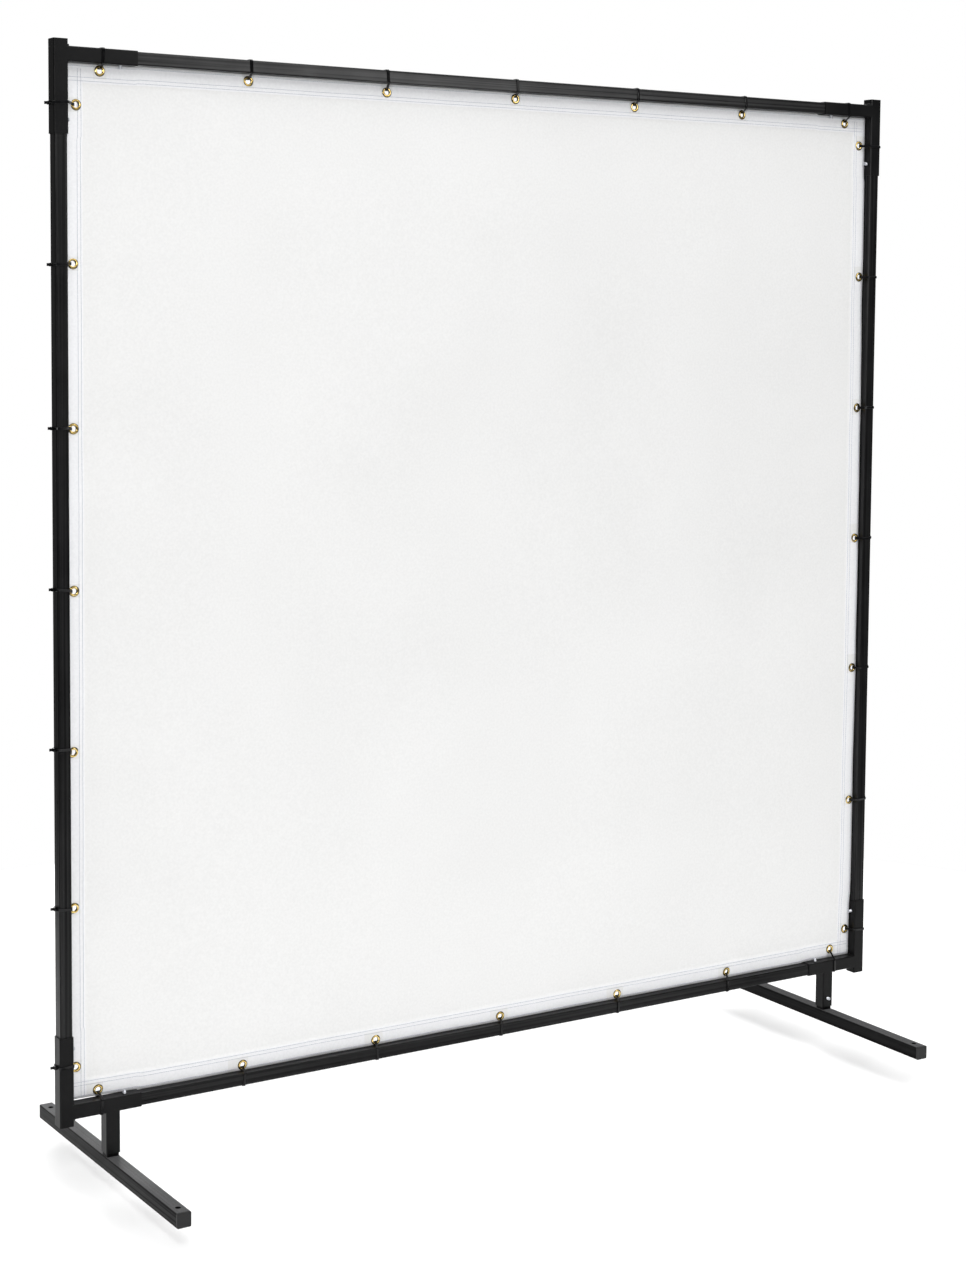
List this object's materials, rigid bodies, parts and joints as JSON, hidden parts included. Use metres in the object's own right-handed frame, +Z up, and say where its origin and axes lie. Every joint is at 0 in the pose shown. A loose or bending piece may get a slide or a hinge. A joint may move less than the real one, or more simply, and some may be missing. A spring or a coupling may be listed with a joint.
{
  "type": "welding curtain screen",
  "caption": "Free-standing square-tube frame on two cross feet, with a hemmed curtain tied inside it through grommets, to screen off welding.",
  "frame": {"origin": "on the floor, under the middle of the screen and midway between the feet's ends", "axes": "+Z up, X along the screen, front towards -Y"},
  "size_m": [1.8228, 0.597, 1.9215],
  "materials": {
    "powder_coated_steel": "satin black powder coat with a fine orange-peel texture",
    "black_plastic": "moulded polyethylene, fine matt texture",
    "black_nylon": "smooth moulded nylon",
    "zinc_plated_steel": "bright zinc plate",
    "brass": "bright rolled brass",
    "curtain_fabric": "white coated plain weave, soft satin"
  },
  "bodies": {
    "frame": {"upright_left": "powder_coated_steel", "upright_right": "powder_coated_steel", "rail_top": "powder_coated_steel", "rail_bottom": "powder_coated_steel", "corner_fitting_top_left": "powder_coated_steel", "corner_fitting_bottom_left": "powder_coated_steel", "corner_fitting_top_right": "powder_coated_steel", "corner_fitting_bottom_right": "powder_coated_steel", "curtain": "curtain_fabric", "cable_tie_top_1": "black_nylon", "cable_tie_top_2": "black_nylon", "cable_tie_top_3": "black_nylon", "cable_tie_top_4": "black_nylon", "cable_tie_top_5": "black_nylon", "cable_tie_top_6": "black_nylon", "cable_tie_top_7": "black_nylon", "cable_tie_bottom_1": "black_nylon", "cable_tie_bottom_2": "black_nylon", "cable_tie_bottom_3": "black_nylon", "cable_tie_bottom_4": "black_nylon", "cable_tie_bottom_5": "black_nylon", "cable_tie_bottom_6": "black_nylon", "cable_tie_bottom_7": "black_nylon", "cable_tie_left_1": "black_nylon", "cable_tie_left_2": "black_nylon", "cable_tie_left_3": "black_nylon", "cable_tie_left_4": "black_nylon", "cable_tie_left_5": "black_nylon", "cable_tie_left_6": "black_nylon", "cable_tie_left_7": "black_nylon", "cable_tie_right_1": "black_nylon", "cable_tie_right_2": "black_nylon", "cable_tie_right_3": "black_nylon", "cable_tie_right_4": "black_nylon", "cable_tie_right_5": "black_nylon", "cable_tie_right_6": "black_nylon", "cable_tie_right_7": "black_nylon"},
    "foot_left": {"foot_left": "powder_coated_steel", "foot_cap_left_front": "black_plastic", "foot_cap_left_rear": "black_plastic"},
    "foot_right": {"foot_right": "powder_coated_steel", "foot_cap_right_front": "black_plastic", "foot_cap_right_rear": "black_plastic"},
    "set_screw_sleeve_top_left": {"set_screw_sleeve_top_left": "zinc_plated_steel"},
    "set_screw_arm_top_left": {"set_screw_arm_top_left": "zinc_plated_steel"},
    "set_screw_sleeve_bottom_left": {"set_screw_sleeve_bottom_left": "zinc_plated_steel"},
    "set_screw_arm_bottom_left": {"set_screw_arm_bottom_left": "zinc_plated_steel"},
    "set_screw_leg_left": {"set_screw_leg_left": "zinc_plated_steel"},
    "set_screw_sleeve_top_right": {"set_screw_sleeve_top_right": "zinc_plated_steel"},
    "set_screw_arm_top_right": {"set_screw_arm_top_right": "zinc_plated_steel"},
    "set_screw_sleeve_bottom_right": {"set_screw_sleeve_bottom_right": "zinc_plated_steel"},
    "set_screw_arm_bottom_right": {"set_screw_arm_bottom_right": "zinc_plated_steel"},
    "set_screw_leg_right": {"set_screw_leg_right": "zinc_plated_steel"}
  },
  "joints": [
    {"name": "foot_left_slide", "type": "slide", "parent": "frame", "child": "foot_left", "axis": [0, 0, -1], "range_m": [0, 0.05]},
    {"name": "foot_right_slide", "type": "slide", "parent": "frame", "child": "foot_right", "axis": [0, 0, -1], "range_m": [0, 0.05]},
    {"name": "loosen_sleeve_top_left", "type": "slide", "parent": "frame", "child": "set_screw_sleeve_top_left", "axis": [1, 0, 0], "range_m": [0, 0.005]},
    {"name": "loosen_arm_top_left", "type": "slide", "parent": "frame", "child": "set_screw_arm_top_left", "axis": [0, 0, -1], "range_m": [0, 0.005]},
    {"name": "loosen_sleeve_bottom_left", "type": "slide", "parent": "frame", "child": "set_screw_sleeve_bottom_left", "axis": [1, 0, 0], "range_m": [0, 0.005]},
    {"name": "loosen_arm_bottom_left", "type": "slide", "parent": "frame", "child": "set_screw_arm_bottom_left", "axis": [0, 0, 1], "range_m": [0, 0.005]},
    {"name": "loosen_leg_left", "type": "slide", "parent": "frame", "child": "set_screw_leg_left", "axis": [0, 1, 0], "range_m": [0, 0.005]},
    {"name": "loosen_sleeve_top_right", "type": "slide", "parent": "frame", "child": "set_screw_sleeve_top_right", "axis": [-1, 0, 0], "range_m": [0, 0.005]},
    {"name": "loosen_arm_top_right", "type": "slide", "parent": "frame", "child": "set_screw_arm_top_right", "axis": [0, 0, -1], "range_m": [0, 0.005]},
    {"name": "loosen_sleeve_bottom_right", "type": "slide", "parent": "frame", "child": "set_screw_sleeve_bottom_right", "axis": [-1, 0, 0], "range_m": [0, 0.005]},
    {"name": "loosen_arm_bottom_right", "type": "slide", "parent": "frame", "child": "set_screw_arm_bottom_right", "axis": [0, 0, 1], "range_m": [0, 0.005]},
    {"name": "loosen_leg_right", "type": "slide", "parent": "frame", "child": "set_screw_leg_right", "axis": [0, -1, 0], "range_m": [0, 0.005]}
  ]
}
